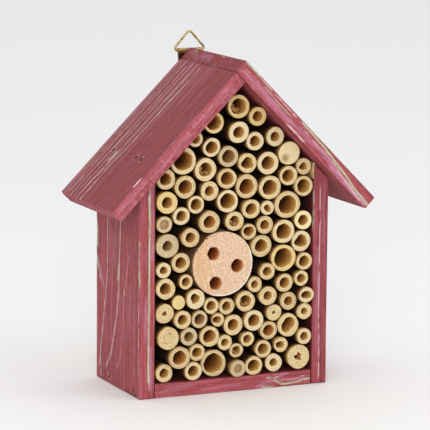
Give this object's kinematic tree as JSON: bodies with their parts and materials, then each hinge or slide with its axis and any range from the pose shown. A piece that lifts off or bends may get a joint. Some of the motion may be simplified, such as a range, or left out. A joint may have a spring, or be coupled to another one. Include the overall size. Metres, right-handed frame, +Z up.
{
  "type": "insect hotel",
  "caption": "Small pitched-roof timber house packed with bamboo canes and a drilled log, open at the front, with a triangle ring to hang it by.",
  "frame": {"origin": "middle of the flat underside of the floor board and walls", "axes": "+X to the right seen from the front, +Y towards the back, +Z up"},
  "size_m": [0.1668, 0.0826, 0.2054],
  "materials": {
    "painted_timber": "raspberry red stain, weathered, with pale scuffs",
    "back_panel_ply": "bare thin plywood",
    "log_wood": "sawn branch wood, unsealed",
    "cane": "sawn bamboo, unsealed",
    "brass": "brass-plated wire and sheet, satin",
    "screw_steel": "zinc-plated",
    "brad_steel": "dull steel"
  },
  "bodies": {
    "house": {"back_panel": "back_panel_ply", "canes_course_01_left": "cane", "canes_course_01_middle": "cane", "canes_course_01_right": "cane", "canes_course_02_left": "cane", "canes_course_02_middle": "cane", "canes_course_02_right": "cane", "canes_course_03_left": "cane", "canes_course_03_middle": "cane", "canes_course_03_right": "cane", "canes_course_04_left": "cane", "canes_course_04_middle": "cane", "canes_course_04_right": "cane", "canes_course_05_left": "cane", "canes_course_05_middle": "cane", "canes_course_05_right": "cane", "canes_course_06_left": "cane", "canes_course_06_middle": "cane", "canes_course_06_right": "cane", "canes_course_07_left": "cane", "canes_course_07_right": "cane", "canes_course_08_left": "cane", "canes_course_08_right": "cane", "canes_course_09_left": "cane", "canes_course_09_middle": "cane", "canes_course_09_right": "cane", "canes_course_10_left": "cane", "canes_course_10_middle": "cane", "canes_course_10_right": "cane", "canes_course_11_left": "cane", "canes_course_11_middle": "cane", "canes_course_11_right": "cane", "canes_course_12_left": "cane", "canes_course_12_middle": "cane", "canes_course_12_right": "cane", "canes_course_13_left": "cane", "canes_course_13_middle": "cane", "canes_course_13_right": "cane", "canes_course_14_left": "cane", "canes_course_14_middle": "cane", "canes_course_14_right": "cane", "canes_course_15_middle": "cane", "floor_board": "painted_timber", "floor_brads_left": "brad_steel", "floor_brads_right": "brad_steel", "hanger_plate": "brass", "hanger_screw": "screw_steel", "left_roof_board": "painted_timber", "left_wall": "painted_timber", "nesting_log": "log_wood", "ridge_brads": "brad_steel", "right_roof_board": "painted_timber", "right_wall": "painted_timber", "roof_brads_left": "brad_steel", "roof_brads_right": "brad_steel", "wedged_sliver": "cane"},
    "ring": {"hanger_ring": "brass"}
  },
  "joints": [
    {"name": "ring_hinge", "type": "hinge", "parent": "house", "child": "ring", "pos_m": [0, 0.03478, 0.19373], "axis": [-1, 0, 0], "range_deg": [-70, 165]}
  ]
}
